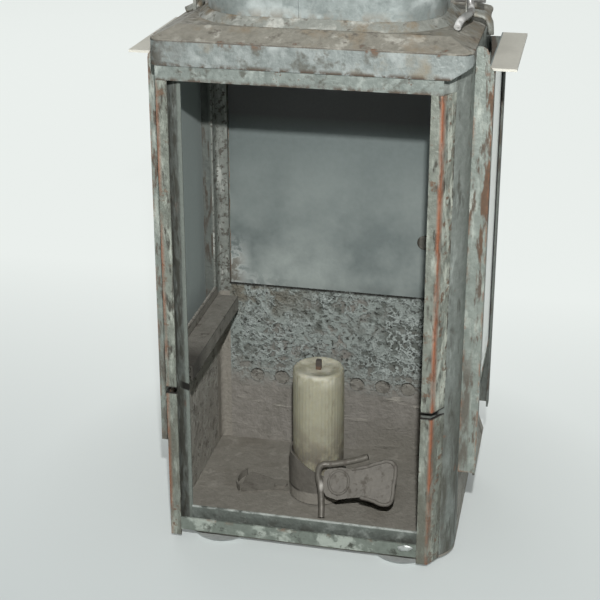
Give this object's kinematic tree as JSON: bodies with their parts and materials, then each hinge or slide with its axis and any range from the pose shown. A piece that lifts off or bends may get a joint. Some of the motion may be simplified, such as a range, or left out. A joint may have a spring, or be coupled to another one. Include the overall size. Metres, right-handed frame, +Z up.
{
  "type": "candle lantern",
  "caption": "Upright sheet-metal candle lantern with an open front, sliding metal shutters in outside channels, punched air holes, folded vent cap and wire bail.",
  "frame": {"origin": "on the ground under the middle of the overall box", "axes": "+Z up, the open front faces -Y, width along X"},
  "size_m": [0.149, 0.1012, 0.2995],
  "materials": {
    "galvanised": "dull weathered galvanised sheet",
    "rusty_channel": "tinned strip with rust along the folds",
    "corroded": "galvanised sheet with white zinc corrosion",
    "floor_sheet": "dull brown stained sheet",
    "shutter": "smooth bright sheet",
    "holder": "brown stained sheet",
    "wire": "dull drawn wire",
    "foot_dome": "pale pressed domes",
    "tallow": "dull pale yellow candle",
    "wick": "charred cotton"
  },
  "bodies": {
    "lantern": {"back_left_post": "galvanised", "back_right_post": "galvanised", "back_shutter_ledge": "rusty_channel", "back_shutter_left_channel": "rusty_channel", "back_shutter_right_channel": "rusty_channel", "back_vent_hood": "galvanised", "back_window_head": "galvanised", "base_pan": "floor_sheet", "cap": "galvanised", "collar": "galvanised", "collar_flange": "galvanised", "feet": "foot_dome", "floor_clip": "holder", "front_left_post": "galvanised", "front_right_post": "galvanised", "front_sill": "rusty_channel", "front_skirt": "galvanised", "front_strap": "holder", "head_band": "rusty_channel", "holder_rivets": "holder", "holder_strip": "holder", "left_bail_ear": "galvanised", "left_inner_rail": "galvanised", "left_shutter_back_channel": "rusty_channel", "left_shutter_front_channel": "rusty_channel", "left_shutter_ledge": "rusty_channel", "left_window_head": "galvanised", "lower_back_wall": "corroded", "lower_left_front_channel": "rusty_channel", "lower_left_wall": "corroded", "lower_right_front_channel": "rusty_channel", "lower_right_wall": "corroded", "right_bail_ear": "galvanised", "right_inner_rail": "galvanised", "right_shutter_back_channel": "rusty_channel", "right_shutter_front_channel": "rusty_channel", "right_shutter_ledge": "rusty_channel", "right_vent_hood": "galvanised", "right_window_head": "galvanised", "roof_plate": "galvanised", "sill_lip": "corroded", "socket_tube": "holder", "upper_left_front_channel": "rusty_channel", "upper_right_front_channel": "rusty_channel"},
    "left_shutter": {"left_shutter": "shutter"},
    "right_shutter": {"right_shutter": "shutter"},
    "back_shutter": {"back_shutter": "shutter"},
    "bail": {"bail": "wire"},
    "candle": {"candle": "tallow", "wick": "wick"}
  },
  "joints": [
    {"name": "left_shutter_lift", "type": "slide", "parent": "lantern", "child": "left_shutter", "axis": [0, 0, 1], "range_m": [0, 0.15]},
    {"name": "right_shutter_lift", "type": "slide", "parent": "lantern", "child": "right_shutter", "axis": [0, 0, 1], "range_m": [0, 0.15]},
    {"name": "back_shutter_lift", "type": "slide", "parent": "lantern", "child": "back_shutter", "axis": [0, 0, 1], "range_m": [0, 0.15]},
    {"name": "bail_swing", "type": "hinge", "parent": "lantern", "child": "bail", "pos_m": [0, -0.0054, 0.226], "axis": [1, 0, 0], "range_deg": [-95, 95]},
    {"name": "candle_lift", "type": "slide", "parent": "lantern", "child": "candle", "axis": [0, 0, 1], "range_m": [0, 0.024]}
  ]
}
